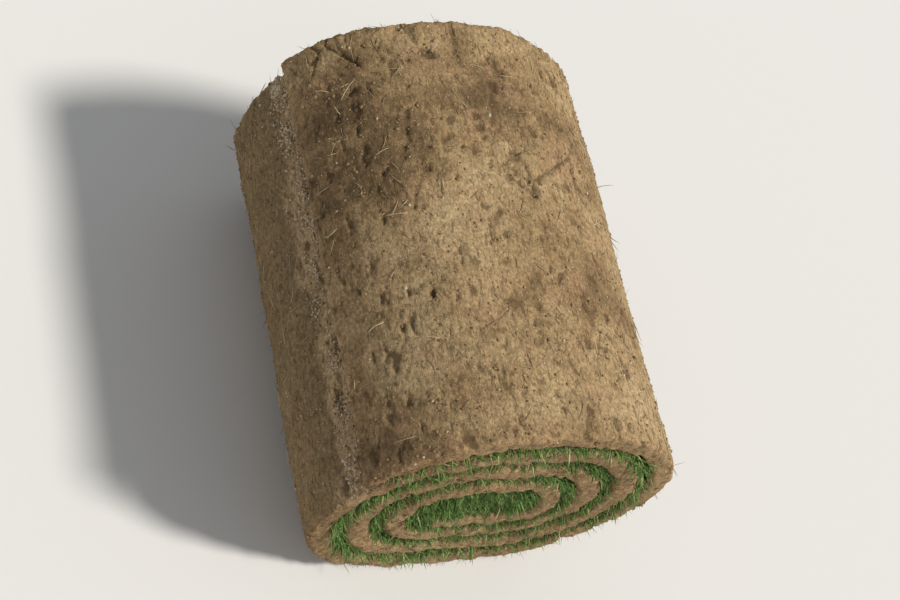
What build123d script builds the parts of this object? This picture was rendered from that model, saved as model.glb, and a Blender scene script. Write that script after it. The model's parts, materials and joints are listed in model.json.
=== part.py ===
"""A roll of cultivated turf, as cut and wound for delivery: one strip, wound grass side in.

The roll lies on its side. Its axis runs along Y, +Z is up, and the origin is on the ground
under the middle of the roll. The strip is wound counter-clockwise as seen looking along +Y.
"""

import os
from math import ceil, cos, floor, radians, sin, sqrt

from build123d import *

# The strip, as cut from the field
strip_length = 2500
strip_width = 400
soil_thickness = 20

# The winding
sward_thickness = 13  # the grass, pressed flat between two turns of soil
first_bend = 2  # least radius of the innermost bend, on its grass side
least_start = 15  # the strip starts straight after a bend of fewer degrees than this, too short to bevel
top_run = 32  # straight run at the top of every turn, where the soft roll has settled
ground_run = 54  # the same at the bottom, where it carries the roll
lap_angle = 146  # where the free end of the strip lies, counter-clockwise from +X

# The free end, which hugs the turn below
free_end_soil = 13
free_end_sward = 5
lip_round = 8  # outer corner of the cut

# The two ends of the roll
sward_setback = 9  # how far the pressed grass lies behind the cut soil, here and at the free end
rim_worn = 3  # bevel that handling has worn on the soil's cut edges
eye_width = 34
eye_height = 16

pitch = soil_thickness + sward_thickness


def outward(angle):
    return Vector(cos(radians(angle)), sin(radians(angle)))


def along(angle):
    return Vector(-sin(radians(angle)), cos(radians(angle)))


def run_at(corner):
    """The straight run between the two arcs that meet at this corner, a multiple of 90 degrees."""
    return {90: top_run, 270: ground_run}.get(corner % 360, 0)


def growth(corner):
    """What the radius gains at this corner: a pitch for each turn, most of it on the way over the top."""
    lean = (ground_run - top_run) / 2
    return {0: pitch / 2 + lean, 180: pitch / 2 - lean}.get(corner % 360, 0)


def arcs(start):
    """Each arc of the strip's grass side, from the eye outwards: its angles, centre and radius."""
    low, corner = start, 90 * (floor(start / 90) + 1)
    first_growth = growth(corner - 90) * (corner - start) / 90
    centre, radius = Vector(0, 0), first_bend + first_growth
    while low < lap_angle:
        yield low, min(corner, lap_angle), centre, radius
        centre += along(corner) * run_at(corner) - outward(corner) * growth(corner)
        radius += growth(corner)
        low, corner = corner, corner + 90


def wound_length(start):
    """Length of strip, along the middle of its soil, from this angle to the free end."""
    middle = sward_thickness + soil_thickness / 2
    bends = sum((radius + middle) * radians(high - low) for low, high, _, radius in arcs(start))
    return bends + sum(run_at(high) for _, high, _, _ in arcs(start) if high < lap_angle)


def start_of_strip():
    """The angle from which the whole strip reaches just to its free end, by halving."""
    near, far = lap_angle, lap_angle - 360 * sqrt(strip_length / pitch)
    for _ in range(50):
        middle = (near + far) / 2
        near, far = (middle, far) if wound_length(middle) < strip_length else (near, middle)
    next_corner = 90 * ceil(near / 90)
    return next_corner if next_corner - near < least_start else near


start_angle = start_of_strip()


def winding(offset, start, end):
    """The line that lies offset outside the strip's grass side, from one angle to another."""
    line = []
    for low, high, centre, radius in arcs(start_angle):
        first, last = max(low, start), min(high, end)
        if first < last:
            line.append(CenterArc(centre, radius + offset, first, last - first))
        if start < high < end and run_at(high):
            line.append(Line(line[-1] @ 1, line[-1] @ 1 + along(high) * run_at(high)))
    return line


def free_end(line, pressed, cut_back=0):
    """The line with its last arc pressed in towards the turn below, and cut back from the tip."""
    last = line[-1]
    if pressed:
        last = TangentArc(last @ 0, last @ 1 - outward(lap_angle) * pressed, tangent=last % 0)
    if cut_back:
        last = last.trim(0, 1 - cut_back / last.length)
    return line[:-1] + [last]


def between(inside, outside):
    """The face between two lines of the winding."""
    inner_end, outer_end = Line(inside[0] @ 0, outside[0] @ 0), Line(inside[-1] @ 1, outside[-1] @ 1)
    return make_face(inside + outside + [inner_end, outer_end])


def soil_section():
    """The soil of the strip: one long band from the eye to the free end."""
    sward_pressed = sward_thickness - free_end_sward
    soil_pressed = sward_pressed + soil_thickness - free_end_soil
    inside = free_end(winding(sward_thickness, start_angle, lap_angle), sward_pressed)
    outside = free_end(winding(pitch, start_angle, lap_angle), soil_pressed)
    lip = outside[-1] @ 1
    band = between(inside, outside)
    return fillet(band.vertices().sort_by_distance(lip)[0], lip_round)


def sward_section():
    """The grass: the band that fills the gap between the turns of soil, and the core."""
    grass_side = free_end(winding(0, start_angle, lap_angle), 0, sward_setback)
    soil_side = winding(sward_thickness, start_angle, lap_angle)
    soil_side = free_end(soil_side, sward_thickness - free_end_sward, sward_setback)
    first_turn = winding(0, start_angle, start_angle + 360)
    core = make_face(first_turn + [Line(first_turn[-1] @ 1, first_turn[0] @ 0)])
    return between(grass_side, soil_side) + core - eye_section()


def eye_section():
    """The small opening that is left at the middle of the first turn."""
    centres = [centre for _, _, centre, _ in arcs(start_angle)][1:5]
    middle = sum(centres, Vector(0, 0)) / len(centres)
    return Pos(middle) * SlotOverall(eye_width, eye_height)


def through(face, width):
    """The face drawn out along the roll's axis, to both sides of the middle."""
    return extrude(Plane.XZ * face, amount=width / 2, both=True)


def build_roll():
    """Soil and grass grow together, so the roll is one solid with the grass set back in it."""
    soil = through(soil_section(), strip_width)
    cut_edges = soil.faces().filter_by(Axis.Y).edges()
    soil = chamfer(cut_edges, rim_worn)
    roll = soil + through(sward_section(), strip_width - 2 * sward_setback)
    box = roll.bounding_box()
    return Pos(-box.center().X, 0, -box.min.Z) * roll


os.makedirs("parts", exist_ok=True)
turf_roll = build_roll()
export_step(turf_roll, "parts/turf_roll.step")
print("turns", round((lap_angle - start_angle) / 360, 3), "size", turf_roll.bounding_box().size)
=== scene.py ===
# A roll of turf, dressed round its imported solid: the soil's relief, the turns and grass at both ends,
# and the roots, straws and crumbs that lie on it.
import json
from math import cos, pi, radians, sin

import bmesh
import bpy
import numpy as np
from mathutils import Matrix, Quaternion, Vector, noise
from mathutils.bvhtree import BVHTree

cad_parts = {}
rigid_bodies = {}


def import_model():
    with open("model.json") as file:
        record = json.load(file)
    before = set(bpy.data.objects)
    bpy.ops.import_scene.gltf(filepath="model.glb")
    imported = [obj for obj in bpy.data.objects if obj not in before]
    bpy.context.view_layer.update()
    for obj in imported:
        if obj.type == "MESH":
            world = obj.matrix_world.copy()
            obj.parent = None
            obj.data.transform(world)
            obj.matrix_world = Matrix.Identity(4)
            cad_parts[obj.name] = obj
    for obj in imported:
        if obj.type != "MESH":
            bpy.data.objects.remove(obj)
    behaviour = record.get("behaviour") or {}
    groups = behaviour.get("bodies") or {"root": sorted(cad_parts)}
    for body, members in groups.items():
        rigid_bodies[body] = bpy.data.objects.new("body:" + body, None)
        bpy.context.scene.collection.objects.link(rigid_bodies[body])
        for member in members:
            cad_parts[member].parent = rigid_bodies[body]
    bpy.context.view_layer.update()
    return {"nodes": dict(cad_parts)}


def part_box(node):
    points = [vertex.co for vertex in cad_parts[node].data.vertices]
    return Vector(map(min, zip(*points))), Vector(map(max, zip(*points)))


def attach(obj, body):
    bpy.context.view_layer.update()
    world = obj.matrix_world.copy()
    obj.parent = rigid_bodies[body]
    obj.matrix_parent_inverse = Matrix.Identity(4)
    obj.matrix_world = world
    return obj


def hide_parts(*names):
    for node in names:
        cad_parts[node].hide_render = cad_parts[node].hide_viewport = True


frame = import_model()
rollNode = frame["nodes"]["turf_roll"]
rollLow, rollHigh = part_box("turf_roll")
rollMiddle = (rollLow + rollHigh) / 2
halfLength = rollHigh.y
scene = bpy.context.scene
rng = np.random.default_rng(52)
share = 1  # of the small things that are scattered


# Geometry helpers

def keep(name, mesh, material):
    piece = bpy.data.objects.new(name, mesh)
    scene.collection.objects.link(piece)
    mesh.materials.clear()
    mesh.materials.append(material)
    mesh.shade_smooth()
    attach(piece, "root")
    print(name, "triangles", sum(len(p.vertices) - 2 for p in mesh.polygons))
    return piece


def evaluated(holder):
    # the mesh that an object's modifiers make of it
    bpy.context.view_layer.update()
    mesh = bpy.data.meshes.new_from_object(holder.evaluated_get(bpy.context.evaluated_depsgraph_get()))
    bpy.data.objects.remove(holder)
    return mesh


def vectorsOf(items, field):
    # a row of x, y and z for each vertex or face
    flat = np.empty(len(items) * 3, np.float32)
    items.foreach_get(field, flat)
    return flat.reshape(-1, 3).astype(float)


def moveVertices(mesh, coords):
    mesh.vertices.foreach_set("co", coords.astype(np.float32).ravel())


def surfaceTree(mesh):
    return BVHTree.FromPolygons([v.co for v in mesh.vertices], [p.vertices[:] for p in mesh.polygons])


def smoothstep(low, high, value):
    t = np.clip((value - low) / (high - low), 0, 1)
    return t * t * (3 - 2 * t)


def inSizes(coords, size, stretch):
    # the coordinates counted in features of that size, which are drawn out along the roll's axis
    return coords * np.array([1 / size, 1 / (size * stretch), 1 / size])


def ripple(coords, size, stretch=1.0, octaves=3, shift=0.0):
    # noise from about -1 to 1, with features of that size in metres
    places = inSizes(coords, size, stretch) + shift
    return np.array([noise.fractal(Vector(p), 1.0, 2.1, octaves) for p in places])


def cellGaps(coords, size, stretch=1.0):
    # 0 on the seams between cells of that size, about 1 in the middle of a cell
    gaps = []
    for p in inSizes(coords, size, stretch):
        near = noise.voronoi(Vector(p))[0]
        gaps.append(near[1] - near[0])
    return np.array(gaps)


# Material helpers

def newMaterial(name, roughness, specular):
    material = bpy.data.materials.new(name)
    material.use_nodes = True
    tree = material.node_tree
    tree.nodes.clear()
    shader = tree.nodes.new("ShaderNodeBsdfPrincipled")
    shader.inputs["Roughness"].default_value = roughness
    shader.inputs["Specular IOR Level"].default_value = specular
    output = tree.nodes.new("ShaderNodeOutputMaterial")
    tree.links.new(shader.outputs[0], output.inputs[0])
    return material, tree, shader


def plug(tree, socket, value):
    # links another node's output, or sets a plain value or colour
    if isinstance(value, bpy.types.NodeSocket):
        tree.links.new(value, socket)
    elif isinstance(value, tuple) and len(value) == 3 and socket.type == "RGBA":
        socket.default_value = (*value, 1)
    else:
        socket.default_value = value


def calc(tree, operation, a, b=0.0):
    node = tree.nodes.new("ShaderNodeMath")
    node.operation = operation
    plug(tree, node.inputs[0], a)
    plug(tree, node.inputs[1], b)
    return node.outputs[0]


def blendColours(tree, factor, a, b, kind="MIX"):
    node = tree.nodes.new("ShaderNodeMix")
    node.data_type = "RGBA"
    node.blend_type = kind
    node.clamp_factor = True
    plug(tree, node.inputs["Factor"], factor)
    plug(tree, node.inputs[6], a)  # the first of its two colours
    plug(tree, node.inputs[7], b)
    return node.outputs[2]  # its colour


def mixValues(tree, factor, a, b):
    node = tree.nodes.new("ShaderNodeMix")
    plug(tree, node.inputs[0], factor)
    plug(tree, node.inputs[2], a)  # the first of its two numbers
    plug(tree, node.inputs[3], b)
    return node.outputs[0]


def ease(tree, value, low, high, toLow=0.0, toHigh=1.0):
    # toLow where the value is low, toHigh where it is high, and a smooth change between them
    node = tree.nodes.new("ShaderNodeMapRange")
    node.interpolation_type = "SMOOTHSTEP"
    for socket, number in zip(node.inputs, (value, low, high, toLow, toHigh)):
        plug(tree, socket, number)
    return node.outputs[0]


def shaded(tree, colour, value, low, high, toLow, toHigh):
    # the colour times a factor that follows the value
    return blendColours(tree, 1.0, colour, ease(tree, value, low, high, toLow, toHigh), "MULTIPLY")


def position(tree, scale=(1, 1, 1), shift=(0, 0, 0)):
    place = tree.nodes.new("ShaderNodeTexCoord")
    mapping = tree.nodes.new("ShaderNodeMapping")
    mapping.inputs["Scale"].default_value = scale
    mapping.inputs["Location"].default_value = shift
    tree.links.new(place.outputs["Object"], mapping.inputs["Vector"])
    return mapping.outputs[0]


def axisPlace(tree):
    # how far along the roll's axis a point is from the middle
    split = tree.nodes.new("ShaderNodeSeparateXYZ")
    tree.links.new(position(tree), split.inputs[0])
    return split.outputs["Y"]


def cloud(tree, where, scale, detail, roughness):
    node = tree.nodes.new("ShaderNodeTexNoise")
    node.inputs["Scale"].default_value = scale
    node.inputs["Detail"].default_value = detail
    node.inputs["Roughness"].default_value = roughness
    tree.links.new(where, node.inputs["Vector"])
    return node.outputs["Fac"]


def cells(tree, where, scale, output="Distance"):
    node = tree.nodes.new("ShaderNodeTexVoronoi")
    node.inputs["Scale"].default_value = scale
    tree.links.new(where, node.inputs["Vector"])
    return node.outputs[output]


def redOf(tree, colour):
    node = tree.nodes.new("ShaderNodeSeparateColor")
    tree.links.new(colour, node.inputs[0])
    return node.outputs[0]


def warped(tree, where, scale, amount):
    # the coordinates, pushed about by noise, so that cells lose their even outlines
    node = tree.nodes.new("ShaderNodeTexNoise")
    node.inputs["Scale"].default_value = scale
    tree.links.new(where, node.inputs["Vector"])
    centred = tree.nodes.new("ShaderNodeVectorMath")
    centred.operation = "SUBTRACT"
    centred.inputs[1].default_value = (0.5, 0.5, 0.5)
    tree.links.new(node.outputs["Color"], centred.inputs[0])
    push = tree.nodes.new("ShaderNodeVectorMath")
    push.operation = "MULTIPLY_ADD"
    push.inputs[1].default_value = (amount,) * 3
    tree.links.new(centred.outputs[0], push.inputs[0])
    tree.links.new(where, push.inputs[2])
    return push.outputs[0]


def attribute(tree, name):
    node = tree.nodes.new("ShaderNodeAttribute")
    node.attribute_name = name
    return node.outputs["Fac"]


def ramp(tree, value, stops):
    # stops gives the colour at each place from 0 to 1
    node = tree.nodes.new("ShaderNodeValToRGB")
    elements = node.color_ramp.elements
    while len(elements) < len(stops):
        elements.new(0.5)
    for element, (place, colour) in zip(elements, stops.items()):
        element.position = place
        element.color = (*colour, 1)
    plug(tree, node.inputs[0], value)
    return node.outputs[0]


def bump(tree, height, strength, distance, under=None):
    node = tree.nodes.new("ShaderNodeBump")
    node.inputs["Strength"].default_value = strength
    node.inputs["Distance"].default_value = distance
    tree.links.new(height, node.inputs["Height"])
    if under:
        tree.links.new(under, node.inputs["Normal"])
    return node.outputs[0]


# Soil

soilColours = {
    "dusty": (0.51, 0.371, 0.203),
    "dry": (0.42, 0.295, 0.154),
    "brown": (0.31, 0.206, 0.103),
    "damp": (0.185, 0.122, 0.061),
    "reddish": (0.42, 0.262, 0.146),
    "paintedShadeOnStrip": (0.19, 0.141, 0.073),  # painted shade on the smooth strip below the free end
    "crumbled": (0.48, 0.345, 0.205),  # on the band beside the free end
    # painted shade for the pits, hollows and dimples
    "paintedCreviceShade": (0.075, 0.046, 0.022),
    "root": (0.335, 0.205, 0.102),  # the mat of roots near the cut edges
    "pale": (0.55, 0.42, 0.27),
    "grit": (0.72, 0.6, 0.44),
}

soilScales = {  # of noise and cells: the greater, the finer
    "patches": 6.5,
    "redness": 24,
    "mottle": 34,
    "tearing": 170,  # of the granules' outlines
    "dimples": 260,
    "granules": 310,
    "grain": 560,
    "flecks": 560,
    "fine": 1100,
}


def soilDryness(tree, mottle, smoothShadedStrip, dried):
    # about 0.38 where the soil is damp, and 0.64 where it is dusty
    patches = cloud(tree, position(tree, shift=(1.3, 0.1, 0.2)), soilScales["patches"], 3, 0.5)
    moist = attribute(tree, "moist")  # 1 in the damp patch
    dryness = calc(tree, "ADD", calc(tree, "MULTIPLY", patches, 0.62), calc(tree, "MULTIPLY", mottle, 0.38))
    dryness = calc(tree, "SUBTRACT", dryness, calc(tree, "MULTIPLY", moist, 0.1))
    # the smooth strip's dryness is pulled towards the darker colours: painted shade
    for place, level, much in ((smoothShadedStrip, 0.44, 0.75), (dried, 0.55, 0.6)):
        dryness = mixValues(tree, calc(tree, "MULTIPLY", place, much), dryness, level)
    return dryness


def soilColour(tree, mottle):
    # the colour of its patches, before the fine shades
    smoothShadedStrip = attribute(tree, "smoothShadedStrip")  # 1 on the smooth strip below the free end, which gets painted shade
    dried = attribute(tree, "dried")  # 1 on the crumbly band beside the free end
    colour = ramp(tree, soilDryness(tree, mottle, smoothShadedStrip, dried), {
        0.38: soilColours["damp"], 0.45: soilColours["brown"],
        0.53: soilColours["dry"], 0.64: soilColours["dusty"]})
    redness = ease(tree, cloud(tree, position(tree), soilScales["redness"], 4, 0.6), 0.48, 0.66, 0, 0.45)
    colour = blendColours(tree, redness, colour, soilColours["reddish"])
    # painted shade: the smooth strip is darkened and greyed
    colour = blendColours(tree, calc(tree, "MULTIPLY", smoothShadedStrip, 0.65), colour, soilColours["paintedShadeOnStrip"])
    colour = blendColours(tree, calc(tree, "MULTIPLY", dried, 0.5), colour, soilColours["crumbled"])
    edge = calc(tree, "ADD", calc(tree, "ABSOLUTE", axisPlace(tree)), calc(tree, "MULTIPLY", mottle, 0.05))
    rim = ease(tree, edge, halfLength + 0.006, halfLength + 0.028, 0, 0.5)
    return blendColours(tree, rim, colour, soilColours["root"])


def soilMaterial():
    material, tree, shader = newMaterial("soil", 0.95, 0.12)
    plain = position(tree)
    drawn = position(tree, (1, 0.42, 1))  # drawn out along the roll's axis
    torn = warped(tree, plain, soilScales["tearing"], 0.0045)
    mottle = cloud(tree, plain, soilScales["mottle"], 5, 0.62)
    grain = cloud(tree, drawn, soilScales["grain"], 4, 0.75)
    fine = cloud(tree, plain, soilScales["fine"], 2, 0.6)
    granules = cells(tree, torn, soilScales["granules"])
    granuleTone = redOf(tree, cells(tree, torn, soilScales["granules"], "Color"))
    dimple = ease(tree, cloud(tree, drawn, soilScales["dimples"], 2, 0.4), 0.57, 0.64)
    relief = attribute(tree, "relief")  # 0 deep in a pit, 0.5 level, 1 on a crest
    colour = soilColour(tree, mottle)
    for value, low, high, toLow, toHigh in ((granuleTone, 0, 1, 0.9, 1.12),
                                            (grain, 0.34, 0.66, 0.76, 1.22),
                                            (fine, 0.34, 0.66, 0.86, 1.14),
                                            # painted shade between the granules: darker at their edges,
                                            # lighter in their middles
                                            (granules, 0.3, 0.75, 1.04, 0.86),
                                            # painted light on the crests and painted shade in the hollows,
                                            # read from the relief
                                            (relief, 0.4, 0.9, 0.97, 1.14)):
        colour = shaded(tree, colour, value, low, high, toLow, toHigh)
    # painted shade: the dimples and the deepest hollows take the dark colour
    hollowShade = calc(tree, "MAXIMUM", calc(tree, "MULTIPLY", dimple, 0.42), ease(tree, relief, 0.06, 0.4, 0.66, 0))
    colour = blendColours(tree, hollowShade, colour, soilColours["paintedCreviceShade"])
    flecks = ease(tree, cloud(tree, plain, soilScales["flecks"], 2, 0.5), 0.67, 0.73, 0, 0.55)
    colour = blendColours(tree, flecks, colour, soilColours["grit"])
    tree.links.new(colour, shader.inputs["Base Color"])
    normal = bump(tree, fine, 0.5, 0.0005, bump(tree, grain, 0.7, 0.0012))
    tree.links.new(normal, shader.inputs["Normal"])
    return material


# Thatch: the mat of dead leaves and roots that the grass grows from

thatchColours = {
    0.3: (0.022, 0.02, 0.008),
    0.48: (0.06, 0.06, 0.02),
    0.6: (0.13, 0.125, 0.045),
    0.74: (0.24, 0.19, 0.085),
}


def thatchMaterial():
    material, tree, shader = newMaterial("thatch", 0.9, 0.15)
    mat = cloud(tree, position(tree), 420, 5, 0.7)
    tree.links.new(ramp(tree, mat, thatchColours), shader.inputs["Base Color"])
    tree.links.new(bump(tree, mat, 0.9, 0.003), shader.inputs["Normal"])
    return material


# Grass, fibres and crumbs: each small thing has a tone from 0 to 1, which picks its colour

grassColours = {
    0.0: (0.05, 0.11, 0.02),
    0.3: (0.1, 0.205, 0.038),
    0.6: (0.172, 0.305, 0.065),
    0.8: (0.28, 0.41, 0.11),
    0.9: (0.47, 0.46, 0.19),
    1.0: (0.56, 0.47, 0.26),
}
grassFoot = (0.36, 0.33, 0.15)

fibreColours = {
    0.0: (0.15, 0.085, 0.04),
    0.45: (0.29, 0.19, 0.1),
    0.8: (0.45, 0.34, 0.19),
    1.0: (0.66, 0.56, 0.36),
}

crumbColours = {
    0.0: soilColours["damp"],
    0.35: soilColours["brown"],
    0.7: soilColours["dry"],
    0.86: soilColours["pale"],
    1.0: soilColours["grit"],
}


def grassMaterial():
    material, tree, shader = newMaterial("grass", 0.5, 0.35)
    along = attribute(tree, "along")  # 0 at the foot of a blade, 1 at its tip
    veins = cloud(tree, position(tree), 1300, 2, 0.5)
    colour = shaded(tree, ramp(tree, attribute(tree, "tone"), grassColours), veins, 0.3, 0.7, 0.72, 1.2)
    colour = blendColours(tree, ease(tree, along, 0.0, 0.4, 0.7, 0.0), colour, grassFoot)
    tree.links.new(colour, shader.inputs["Base Color"])
    tree.links.new(bump(tree, veins, 0.3, 0.0004), shader.inputs["Normal"])
    return material


def fibreMaterial():
    material, tree, shader = newMaterial("fibre", 0.75, 0.25)
    streaks = cloud(tree, position(tree), 1500, 2, 0.6)
    colour = shaded(tree, ramp(tree, attribute(tree, "tone"), fibreColours), streaks, 0.3, 0.7, 0.7, 1.2)
    tree.links.new(colour, shader.inputs["Base Color"])
    tree.links.new(bump(tree, streaks, 0.4, 0.0004), shader.inputs["Normal"])
    return material


def crumbMaterial():
    material, tree, shader = newMaterial("crumb", 0.93, 0.2)
    grain = cloud(tree, position(tree), 800, 4, 0.7)
    colour = shaded(tree, ramp(tree, attribute(tree, "tone"), crumbColours), grain, 0.3, 0.7, 0.65, 1.2)
    tree.links.new(colour, shader.inputs["Base Color"])
    tree.links.new(bump(tree, grain, 0.7, 0.001), shader.inputs["Normal"])
    return material


soil, thatch, grass = soilMaterial(), thatchMaterial(), grassMaterial()
fibre, crumb = fibreMaterial(), crumbMaterial()
print("materials made")


# The soil's surface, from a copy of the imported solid

soilShape = {  # how high or deep each form is
    "lumps": 0.0026,  # broad hollows and swellings
    "dents": 0.0011,
    "rimWear": 0.0014,
    "grain": 0.0004,
    "pits": 0.0018,
    "cracks": 0.0024,
    "clods": 0.0009,
    "gouges": 0.003,
}
reliefShares = {"grain": 0.17, "pits": 0.34, "cracks": 0.4, "gouges": 0.45, "dents": 0.06, "clods": 0.18}
formSizes = {  # how wide each form is, or how far apart
    "lumps": 0.12,
    "dents": 0.03,
    "rimWear": 0.04,
    "rimCrumbs": 0.007,
    "grain": 0.0068,
    "pits": 0.0095,
    "cracks": 0.062,
    "cracked": 0.13,  # the places that have cracks
    "clods": 0.0088,
    "crumbly": 0.055,  # the places that have clods
    "gouges": 0.0105,
    "swardTufts": 0.009,
    "bandWaves": 0.04,
}
swardHeight = 0.004
voxel = 0.00235

endZone = {
    "depth": 0.012,  # how far in from the cut soil the turns and the grass are pieces of their own
    "swardSunk": 0.009,  # how far the grass lies behind the cut soil
    "swardRise": 0.0016,  # how far above that a face is still grass
    "eye": (0.035, 0.025),  # half the width and height of the opening in the middle, with its rim
    "sward": 0.75,  # how much a face of the grass looks along the axis, at least
    "cutEnd": 0.8,  # the same for the cut soil, without its rims
}

besideLip = {  # in radians round the roll, past the free end
    "bandStarts": (0.0, 0.03),
    "bandEnds": (0.13, 0.23),
    "stripStarts": (0.13, 0.24),
    "stripEnds": (0.3, 1.2),
    "wavy": 0.11,  # how far these edges wander
}
outerTurn = 0.12  # from the roll's middle

moistPatch = {"middle": Vector((-0.105, 0.075)), "width": 0.04, "length": 0.07}  # on top, near the free end


def findLip():
    # the strip's free end: where the roll's outline drops most, going round its upper left
    tree = surfaceTree(rollNode.data)
    middle = Vector((rollMiddle.x, 0, rollMiddle.z))
    arms = [Vector((cos(radians(a / 2)), 0, sin(radians(a / 2)))) for a in range(200, 380)]
    reach = [(tree.ray_cast(middle + arm * 0.4, -arm)[0] - middle).length for arm in arms]
    drops = [before - after for before, after in zip(reach, reach[1:])]
    last = drops.index(max(drops))
    return middle + arms[last] * reach[last]


lip = findLip()


def pastLip(coords):
    # how far round the roll each point is below the free end, in radians
    turned = np.arctan2(coords[:, 2] - rollMiddle.z, coords[:, 0] - rollMiddle.x)
    turned -= np.arctan2(lip.z - rollMiddle.z, lip.x - rollMiddle.x)
    return (turned + pi) % (2 * pi) - pi


def remeshedCopy():
    mesh = rollNode.data.copy()
    work = bmesh.new()
    work.from_mesh(mesh)
    bmesh.ops.remove_doubles(work, verts=work.verts, dist=1e-6)
    work.to_mesh(mesh)
    work.free()
    holder = bpy.data.objects.new("copy", mesh)
    scene.collection.objects.link(holder)
    remesh = holder.modifiers.new("even", "REMESH")
    remesh.mode = "VOXEL"
    remesh.voxel_size = voxel
    return evaluated(holder)


def pieceAt(centre, normal, tree):
    # the name of the piece that a face there belongs to
    side = "front" if centre[1] < 0 else "back"
    along, facing = abs(centre[1]), abs(normal[1])
    if along < halfLength - endZone["depth"]:
        across, up = abs(centre[0] - rollMiddle.x), abs(centre[2] - rollMiddle.z)
        inEye = across < endZone["eye"][0] and up < endZone["eye"][1]
        return side + "_turns" if inEye else "soil_skin"
    if facing > endZone["sward"] and along < halfLength - endZone["swardSunk"] + endZone["swardRise"]:
        return side + "_sward"
    if facing > endZone["cutEnd"]:
        return side + "_turns"
    out = Vector((normal[0], 0, normal[2])).normalized()
    nextTurn = tree.ray_cast(Vector(centre) + out * 0.003, out, 0.4)[0]
    return "soil_skin" if nextTurn is None else side + "_turns"


def piecesOf(mesh):
    tree = surfaceTree(mesh)
    faces = zip(vectorsOf(mesh.polygons, "center"), vectorsOf(mesh.polygons, "normal"))
    return np.array([pieceAt(centre, normal, tree) for centre, normal in faces])


def soilMarks(coords):
    # from 0 to 1: the damp patch on top, the crumbly band beside the free end, and the smooth strip below it,
    # which gets painted shade
    below = pastLip(coords)
    across = (coords[:, 0] - moistPatch["middle"].x) / moistPatch["width"]
    along = (coords[:, 1] - moistPatch["middle"].y) / moistPatch["length"]
    moist = np.exp(-(across ** 2 + along ** 2)) * ((coords[:, 2] > rollMiddle.z) & (below < 0))
    outermost = np.hypot(coords[:, 0] - rollMiddle.x, coords[:, 2] - rollMiddle.z) > outerTurn
    wavy = besideLip["wavy"] * ripple(coords, formSizes["bandWaves"], stretch=1.5, shift=13)
    band = smoothstep(*besideLip["bandStarts"], below)
    band *= 1 - smoothstep(*besideLip["bandEnds"], below + wavy)
    strip = smoothstep(*besideLip["stripStarts"], below + wavy)
    strip *= 1 - smoothstep(*besideLip["stripEnds"], below + 2 * wavy)
    return {"moist": moist, "dried": band * outermost, "smoothShadedStrip": strip * outermost}


def soilForms(coords, atEnd, dried, smoothShadedStrip):
    # what makes up the relief, each from about -1 to 1, or down from 0 where it is a hole
    lumps = ripple(coords, formSizes["lumps"], stretch=1.3, octaves=2)
    dents = ripple(coords, formSizes["dents"], stretch=1.3, octaves=2, shift=7)
    grain = ripple(coords, formSizes["grain"], stretch=1.2, shift=19)
    rimWear = ripple(coords, formSizes["rimWear"], shift=65)
    rimWear = (rimWear + 1.2 * ripple(coords, formSizes["rimCrumbs"], octaves=2, shift=61)) * atEnd
    ragged = coords + 0.0035 * np.stack([grain, dents, -grain], 1)  # so that outlines are uneven
    pits = -smoothstep(0.31, 0.6, ripple(ragged, formSizes["pits"], stretch=2.1, octaves=2, shift=43))
    pits *= 1 - 0.6 * smoothShadedStrip
    gouges = -smoothstep(0.55, 0.75, ripple(ragged, formSizes["gouges"], stretch=2.4, octaves=1, shift=57))
    gouges *= (1 - smoothShadedStrip) * (1 - atEnd)
    cracked = smoothstep(0.1, 0.45, ripple(coords, formSizes["cracked"], octaves=1, shift=81))
    cracks = -(1 - smoothstep(0.0, 0.035, cellGaps(coords, formSizes["cracks"], stretch=1.4))) * cracked
    crumbly = smoothstep(-0.3, 0.25, ripple(coords, formSizes["crumbly"], stretch=1.3, octaves=2, shift=31))
    crumbly = np.maximum(crumbly, np.maximum(atEnd, dried)) * (1 - 0.75 * smoothShadedStrip)
    clods = np.minimum(cellGaps(ragged, formSizes["clods"], stretch=1.35), 0.6) / 0.6 - 0.6  # flat on top
    return {"lumps": lumps, "dents": dents, "rimWear": rimWear, "grain": grain, "pits": pits,
            "cracks": cracks, "clods": clods * crumbly, "gouges": gouges}


def carve(mesh):
    # moves each point along its normal, and stores what the soil's material reads
    coords = vectorsOf(mesh.vertices, "co")
    normals = vectorsOf(mesh.vertices, "normal")
    depth = halfLength - np.abs(coords[:, 1])
    atEnd = 1 - smoothstep(0.0, 0.02, depth)  # 1 on the rims of the cut ends
    marks = soilMarks(coords)
    forms = soilForms(coords, atEnd, marks["dried"], marks["smoothShadedStrip"])
    # the relief, which the soil's material turns into painted shade in hollows and painted light on crests
    relief = 0.5 + sum(forms[name] * much for name, much in reliefShares.items())
    isSward = (np.abs(normals[:, 1]) > endZone["sward"]) & (depth > 0.006)  # it lies behind the cut soil
    tufts = ripple(coords, formSizes["swardTufts"], shift=99) * swardHeight
    soilHeight = sum(forms[name] * height for name, height in soilShape.items())
    coords += normals * np.where(isSward, tufts, soilHeight)[:, None]
    coords[:, 2] = np.maximum(coords[:, 2], 0)  # it stays on the ground
    for name, values in {"relief": np.clip(relief, 0, 1), **marks}.items():
        store = mesh.attributes.new(name, "FLOAT", "POINT")
        store.data.foreach_set("value", values.astype(np.float32))
    moveVertices(mesh, coords)
    mesh.update()


shell = remeshedCopy()
print("remeshed to", len(shell.polygons), "faces")
pieceNames = piecesOf(shell)
carve(shell)


def cutOut(name, material):
    # a piece of the shell, from the faces that have its name
    part = shell.copy()
    wanted = pieceNames == name
    work = bmesh.new()
    work.from_mesh(part)
    work.faces.ensure_lookup_table()
    bmesh.ops.delete(work, geom=[f for f in work.faces if not wanted[f.index]], context="FACES")
    work.to_mesh(part)
    work.free()
    return keep(name, part, material)


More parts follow.
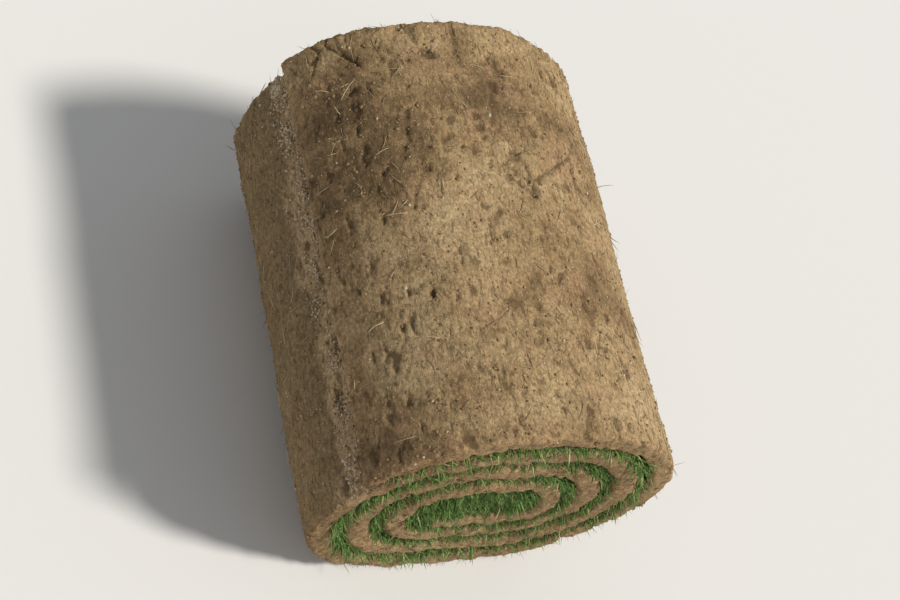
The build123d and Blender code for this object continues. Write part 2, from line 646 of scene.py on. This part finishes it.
skin = cutOut("soil_skin", soil)
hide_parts("turf_roll")
frontTurns = cutOut("front_turns", soil)
backTurns = cutOut("back_turns", soil)
frontSward = cutOut("front_sward", thatch)
backSward = cutOut("back_sward", thatch)
print("soil carved")


# Small shapes: a strand is one unit long, from its foot at the origin up Z, and a clod is one unit across

strandSides = 3
strandRings = 3
bladeShape = {
    "widthsAndBends": ((0.12, 0.3), (0.1, 0.9), (0.13, 1.3), (0.09, 0.6), (0.11, 1.7), (0.1, 0.1)),
    "thickness": 0.028,
    "taper": 1.9,  # the greater, the nearer the tip the blade begins to narrow
}
fibreShape = {"width": 0.05, "bends": (0.15, 0.6, 1.0, -0.5), "thickness": 0.04, "taper": 4}
clodKinds = 6


def shapeFrom(work, name):
    mesh = bpy.data.meshes.new(name)
    work.to_mesh(mesh)
    work.free()
    return bpy.data.objects.new(name, mesh)


def strand(name, width, thickness, bend, taper):
    # a closed strand: its section is drawn up ring by ring, bending towards +X, to a point
    work = bmesh.new()
    bmesh.ops.create_circle(work, cap_ends=True, segments=strandSides, radius=0.5)
    bmesh.ops.scale(work, vec=(thickness, width, 1), verts=work.verts)
    bmesh.ops.reverse_faces(work, faces=work.faces)
    along = work.verts.layers.float.new("along")
    top = list(work.faces)[0]
    for ring in range(1, strandRings + 1):
        made = bmesh.ops.extrude_face_region(work, geom=[top])
        newVerts = [v for v in made["geom"] if isinstance(v, bmesh.types.BMVert)]
        if ring > 1:  # the first face stays, and closes the foot
            bmesh.ops.delete(work, geom=[top], context="FACES_ONLY")
        top = [f for f in made["geom"] if isinstance(f, bmesh.types.BMFace)][0]
        before, t = (ring - 1) / strandRings, ring / strandRings
        step = Vector((sin(bend * t), 0, cos(bend * t))) / strandRings
        bmesh.ops.translate(work, verts=newVerts, vec=step)
        middle = sum((v.co for v in newVerts), Vector()) / len(newVerts)
        narrower = max(0.02, (1 - t ** taper) / (1 - before ** taper))
        bmesh.ops.scale(work, vec=(narrower,) * 3, verts=newVerts, space=Matrix.Translation(-middle))
        for v in newVerts:
            v[along] = t
    bmesh.ops.remove_doubles(work, verts=work.verts, dist=0.0015)
    bmesh.ops.recalc_face_normals(work, faces=work.faces)
    return shapeFrom(work, name)


def clod(name, seed):
    work = bmesh.new()
    bmesh.ops.create_icosphere(work, subdivisions=1, radius=0.5)
    for v in work.verts:
        v.co *= 0.8 + 0.45 * noise.noise(v.co * 2.3 + Vector((seed * 5.1, 0, 0)))
    bmesh.ops.scale(work, vec=(1, 0.8, 0.7), verts=work.verts)
    return shapeFrom(work, name)


def gather(name, shapes):
    collection = bpy.data.collections.new(name)
    for shape in shapes:
        collection.objects.link(shape)
    return collection


blades = gather("blades", [strand(f"blade{n}", width, bladeShape["thickness"], bend, bladeShape["taper"])
                           for n, (width, bend) in enumerate(bladeShape["widthsAndBends"])])
fibres = gather("fibres", [strand(f"fibre{n}", fibreShape["width"], fibreShape["thickness"], bend,
                                  fibreShape["taper"]) for n, bend in enumerate(fibreShape["bends"])])
clods = gather("clods", [clod(f"clod{n}", n) for n in range(clodKinds)])


# Scattering: one instance of a shape on each point, made real

def scatterTree():
    tree = bpy.data.node_groups.new("scatter", "GeometryNodeTree")
    tree.interface.new_socket("Points", in_out="INPUT", socket_type="NodeSocketGeometry")
    shapesSocket = tree.interface.new_socket("Shapes", in_out="INPUT", socket_type="NodeSocketCollection")
    tree.interface.new_socket("Made", in_out="OUTPUT", socket_type="NodeSocketGeometry")
    start = tree.nodes.new("NodeGroupInput")
    info = tree.nodes.new("GeometryNodeCollectionInfo")
    info.inputs["Separate Children"].default_value = True
    tree.links.new(start.outputs["Shapes"], info.inputs["Collection"])
    put = tree.nodes.new("GeometryNodeInstanceOnPoints")
    put.inputs["Pick Instance"].default_value = True
    tree.links.new(start.outputs["Points"], put.inputs["Points"])
    tree.links.new(info.outputs[0], put.inputs["Instance"])
    for name, kind, socket in (("pick", "INT", "Instance Index"), ("turn", "QUATERNION", "Rotation"),
                               ("size", "FLOAT_VECTOR", "Scale")):
        read = tree.nodes.new("GeometryNodeInputNamedAttribute")
        read.data_type = kind
        read.inputs["Name"].default_value = name
        tree.links.new(read.outputs["Attribute"], put.inputs[socket])
    real = tree.nodes.new("GeometryNodeRealizeInstances")
    tree.links.new(put.outputs[0], real.inputs[0])
    end = tree.nodes.new("NodeGroupOutput")
    tree.links.new(real.outputs[0], end.inputs[0])
    return tree, shapesSocket.identifier


scatterGroup, shapesInput = scatterTree()


def scatter(name, places, shapes, material):
    # places are (point, turn, size, tone), and each gets one of the shapes
    mesh = bpy.data.meshes.new(name + "Points")
    mesh.vertices.add(len(places))
    moveVertices(mesh, np.array([p[0] for p in places]))
    stores = (("turn", "QUATERNION", "value", np.array([p[1] for p in places])),
              ("size", "FLOAT_VECTOR", "vector", np.array([p[2] for p in places])),
              ("tone", "FLOAT", "value", np.array([p[3] for p in places])),
              ("pick", "INT", "value", rng.integers(0, len(shapes.objects), len(places))))
    for label, kind, field, values in stores:
        data = mesh.attributes.new(label, kind, "POINT").data
        data.foreach_set(field, values.astype(np.int32 if kind == "INT" else np.float32).ravel())
    holder = bpy.data.objects.new(name + "Points", mesh)
    scene.collection.objects.link(holder)
    modifier = holder.modifiers.new("scatter", "NODES")
    modifier.node_group = scatterGroup
    modifier[shapesInput] = shapes
    made = evaluated(holder)
    coords = vectorsOf(made.vertices, "co")
    coords[:, 2] = np.maximum(coords[:, 2], 0.0002)  # nothing reaches under the ground
    moveVertices(made, coords)
    for label in ("turn", "size", "pick"):
        if label in made.attributes:
            made.attributes.remove(made.attributes[label])
    return keep(name, made, material)


def spots(piece, count, accept=None):
    # random points on a piece, even over its area, each with the surface's normal
    mesh = piece.data
    mesh.calc_loop_triangles()
    corners = np.empty(len(mesh.loop_triangles) * 3, np.int32)
    mesh.loop_triangles.foreach_get("vertices", corners)
    a, b, c = vectorsOf(mesh.vertices, "co")[corners.reshape(-1, 3)].swapaxes(0, 1)
    cross = np.cross(b - a, c - a)
    area = np.linalg.norm(cross, axis=1)
    normals = cross / np.maximum(area, 1e-12)[:, None]
    weight = area * accept((a + b + c) / 3, normals) if accept else area
    picked = rng.choice(len(area), count, p=weight / weight.sum())
    u, v = rng.random(count), rng.random(count)
    flip = u + v > 1
    u[flip], v[flip] = 1 - u[flip], 1 - v[flip]
    points = a[picked] + (b - a)[picked] * u[:, None] + (c - a)[picked] * v[:, None]
    return [(Vector(p), Vector(n)) for p, n in zip(points, normals[picked])]


def standing(direction, spin):
    return direction.to_track_quat("Z", "Y") @ Quaternion((0, 0, 1), spin)


def lying(direction, normal):
    # along the surface, bending sideways in it
    flat = (direction - normal * direction.dot(normal)).normalized()
    return Matrix((normal.cross(flat), normal, flat)).transposed().to_quaternion()


def anyTurn():
    return rng.uniform(0, 2 * pi)


# Grass at the two ends, pressed between the turns and standing out of them

endGrass = {
    "count": 8300,  # at each end
    "lengths": (0.008, 0.021),
    "fringe": (0.021, 0.026),  # the lengths of some blades round the outer turn
    "fringed": 0.25,  # the share of the blades there that are so long
    "outerTurn": 0.118,  # from the roll's middle
    "reach": 0.0135,  # how far the blades stand out past the cut soil at most
    "sunk": (0.001, 0.004),
    "slant": 0.95,  # along the turns
    "lean": (0.05, 0.3),  # away from the roll's middle: the mean and the spread
    "droop": 0.12,
    "short": 0.012,  # shorter blades are broader for their length
    "breadth": (0.7, 1.25),
    "shortBreadth": (1, 1.5),
    "tone": (0.42, 0.24),  # the mean and the spread
    "outerTone": 0.12,  # added where the blades have dried
}


def grassEnd(name, sward, outward):
    places = []
    for point, _ in spots(sward, int(endGrass["count"] * share)):
        arm = Vector((point.x - rollMiddle.x, 0, point.z - rollMiddle.z))
        around = Vector((arm.z, 0, -arm.x)).normalized() if arm.length > 1e-4 else Vector((1, 0, 0))
        outer = arm.length > endGrass["outerTurn"]
        slant = rng.normal(0, endGrass["slant"])
        direction = Vector((0, outward, 0)) + around * slant
        direction += arm.normalized() * rng.normal(*endGrass["lean"])
        direction.z -= endGrass["droop"]
        direction.normalize()
        length = rng.uniform(*endGrass["lengths"])
        if outer and rng.random() < endGrass["fringed"]:
            length = rng.uniform(*endGrass["fringe"])
        foot = point - direction * rng.uniform(*endGrass["sunk"])
        room = halfLength + endGrass["reach"] - abs(foot.y)
        length *= min(1, room / (abs(direction.y) * length))
        width = length * rng.uniform(*endGrass["breadth" if length > endGrass["short"] else "shortBreadth"])
        tone = min(1.0, abs(rng.normal(*endGrass["tone"])) + outer * endGrass["outerTone"])
        places.append((foot, standing(direction, anyTurn()), (width, width, length), tone))
    scatter(name, places, blades, grass)


grassEnd("front_grass", frontSward, -1)
grassEnd("back_grass", backSward, 1)


# Roots and straws on the soil: the roots lie mostly along the roll's axis, the straws anyhow

skinRoots = {
    "count": 3200,
    "lengths": (0.005, 0.016),
    "width": 0.011,
    "widthFactors": (0.6, 1.2),
    "sunk": (0.0001, 0.0004),
    "acrossAxis": 0.45,
}
straws = {
    "count": 420,
    "lengths": (0.009, 0.026),
    "widths": (0.014, 0.024),
    "lift": (0.02, 0.12),  # of their tips off the soil, in radians
    "tones": (0.7, 1),
}


def aboveGround(centres, normals):
    return (centres[:, 2] > 0.004).astype(float)


def rootPlaces():
    places = []
    for point, normal in spots(skin, int(skinRoots["count"] * share), aboveGround):
        across = skinRoots["acrossAxis"]
        direction = Vector((rng.normal(0, across), rng.choice([-1, 1]), rng.normal(0, across)))
        length = rng.uniform(*skinRoots["lengths"])
        width = rng.uniform(*skinRoots["widthFactors"]) * skinRoots["width"]
        foot = point - normal * rng.uniform(*skinRoots["sunk"])
        places.append((foot, lying(direction, normal), (width, width, length), rng.beta(1.6, 2.4)))
    return places


def strawPlaces():
    places = []
    for point, normal in spots(skin, int(straws["count"] * share), aboveGround):
        direction = Vector((rng.normal(0, 1), rng.normal(0, 1), rng.normal(0, 1)))
        length = rng.uniform(*straws["lengths"])
        width = rng.uniform(*straws["widths"])
        lifted = lying(direction, normal) @ Quaternion((1, 0, 0), -rng.uniform(*straws["lift"]))
        places.append((point, lifted, (width, width, length), rng.uniform(*straws["tones"])))
    return places


scatter("skin_roots", rootPlaces() + strawPlaces(), fibres, fibre)


# Roots that hang out of the soil's cut ends

endRoots = {"count": 1100, "lengths": (0.003, 0.008), "widths": (0.007, 0.012), "sunk": 0.0008}  # at each end


def rootsOfEnd(name, turns, outward):
    def facingOut(centres, normals):
        return (normals[:, 1] * outward > 0.5).astype(float)

    places = []
    for point, _ in spots(turns, int(endRoots["count"] * share), facingOut):
        direction = Vector((rng.normal(0, 0.8), outward * rng.uniform(0.15, 1), rng.normal(-0.25, 0.8)))
        direction.normalize()
        length = rng.uniform(*endRoots["lengths"])
        width = rng.uniform(*endRoots["widths"])
        foot = point - direction * endRoots["sunk"]
        places.append((foot, standing(direction, anyTurn()), (width, width, length), rng.beta(2, 2)))
    scatter(name, places, fibres, fibre)


rootsOfEnd("front_roots", frontTurns, -1)
rootsOfEnd("back_roots", backTurns, 1)


# Crumbs of soil and grit, loose and half sunk

crumbs = {
    "onSkin": 9600,
    "alongLip": 2700,
    "atFarCorner": 150,
    "atEnds": 700,  # at each end
    "smallest": 0.0009,
    "smallestAtCorner": 0.002,
    "largest": 0.0048,
    "sunk": (-0.1, 0.25),  # as a share of its size
    "fromLip": 0.11,  # where the pale band lies past the free end, in radians
    "bandWidth": 0.06,
    "clumps": 0.012,
}


def nearLip(centres, normals):
    # on the turn below, close to the free end, and more of them towards the roll's far end
    reach = pastLip(centres) - crumbs["fromLip"]
    towardsFar = 1 + 2 * smoothstep(0.1, halfLength, centres[:, 1])
    clumped = 0.08 + smoothstep(-0.2, 0.4, ripple(centres, crumbs["clumps"], stretch=2.2, octaves=2, shift=5))
    return np.exp(-(reach / crumbs["bandWidth"]) ** 2) * towardsFar * (reach > -0.12) * clumped


def farCorner(centres, normals):
    return nearLip(centres, normals) * (centres[:, 1] > halfLength - 0.03)


def crumbPlaces(piece, count, accept, fineness, tones, smallest=crumbs["smallest"]):
    # the greater the fineness, the more of them are small
    places = []
    for point, normal in spots(piece, int(count * share), accept):
        size = smallest + (crumbs["largest"] - smallest) * rng.random() ** fineness
        turn = Quaternion(rng.normal(0, 1, 4)).normalized()
        foot = point - normal * size * rng.uniform(*crumbs["sunk"])
        tone = min(1.0, max(0.0, rng.normal(*tones)))
        places.append((foot, turn, (size, size, size), tone))
    return places


sunkCrumbs = crumbPlaces(skin, crumbs["onSkin"], aboveGround, 1.9, (0.5, 0.22))
scatter("soil_crumbs", sunkCrumbs, clods, crumb)
looseCrumbs = crumbPlaces(skin, crumbs["alongLip"], nearLip, 1.3, (0.84, 0.22))
looseCrumbs += crumbPlaces(skin, crumbs["atFarCorner"], farCorner, 1, (1, 0.06), crumbs["smallestAtCorner"])
for turns in (frontTurns, backTurns):
    looseCrumbs += crumbPlaces(turns, crumbs["atEnds"], None, 3.2, (0.48, 0.2))
scatter("loose_crumbs", looseCrumbs, clods, crumb)


# Floor, light and camera

room = {
    "floorSide": 12,
    "floor": (0.75, 0.74, 0.72, 1),
    "backdrop": (0.86, 0.86, 0.85, 1),
    "fill": (0.93, 0.96, 1, 1),
    "fillStrength": 0.38,
}
sunlight = {
    "strength": 3.05,
    "colour": (1, 0.965, 0.9),
    "from": Vector((0.65, -0.38, 0.95)),
    "softness": radians(9),
}

# The photograph's own viewing angle: from where it was taken, turned only as far as centres the roll
viewpoint = {
    "eye": Vector((-0.687, -0.611, 1.34)),  # from the ground under the middle of the roll
    "turnedLeft": radians(6.8),  # from the roll's axis
    "lookingDown": radians(41.4),
    "lens": 66,
}


def makeFloor():
    work = bmesh.new()
    bmesh.ops.create_grid(work, x_segments=1, y_segments=1, size=room["floorSide"] / 2)
    floor = shapeFrom(work, "floor")
    scene.collection.objects.link(floor)
    material, _, shader = newMaterial("floor", 0.9, 0.1)
    shader.inputs["Base Color"].default_value = room["floor"]
    floor.data.materials.append(material)


def makeWorld():
    # an even fill on the object, and a pale backdrop where the camera sees past it
    world = bpy.data.worlds.new("room")
    scene.world = world
    world.use_nodes = True
    tree = world.node_tree
    tree.nodes.clear()
    seen = tree.nodes.new("ShaderNodeBackground")
    seen.inputs["Color"].default_value = room["backdrop"]
    fill = tree.nodes.new("ShaderNodeBackground")
    fill.inputs["Color"].default_value = room["fill"]
    fill.inputs["Strength"].default_value = room["fillStrength"]
    path = tree.nodes.new("ShaderNodeLightPath")
    mix = tree.nodes.new("ShaderNodeMixShader")
    output = tree.nodes.new("ShaderNodeOutputWorld")
    tree.links.new(path.outputs["Is Camera Ray"], mix.inputs[0])
    tree.links.new(fill.outputs[0], mix.inputs[1])
    tree.links.new(seen.outputs[0], mix.inputs[2])
    tree.links.new(mix.outputs[0], output.inputs[0])


def makeSun():
    sun = bpy.data.lights.new("sun", "SUN")
    sun.energy = sunlight["strength"]
    sun.color = sunlight["colour"]
    sun.angle = sunlight["softness"]
    lamp = bpy.data.objects.new("sun", sun)
    scene.collection.objects.link(lamp)
    lamp.rotation_mode = "QUATERNION"
    lamp.rotation_quaternion = sunlight["from"].to_track_quat("Z", "Y")


def makeCamera():
    data = bpy.data.cameras.new("view")
    data.lens = viewpoint["lens"]
    data.clip_start = 0.02
    camera = bpy.data.objects.new("view", data)
    scene.collection.objects.link(camera)
    scene.camera = camera
    turned, down = viewpoint["turnedLeft"], viewpoint["lookingDown"]
    look = Vector((-sin(turned) * cos(down), cos(turned) * cos(down), -sin(down)))
    target = (Vector((0, 0, rollMiddle.z)) - viewpoint["eye"]).normalized()
    camera.location = viewpoint["eye"]
    camera.rotation_mode = "QUATERNION"
    camera.rotation_quaternion = look.rotation_difference(target) @ look.to_track_quat("-Z", "Y")


makeFloor()
makeWorld()
makeSun()
makeCamera()
scene.view_settings.view_transform = "Standard"
print("floor, light and camera made")
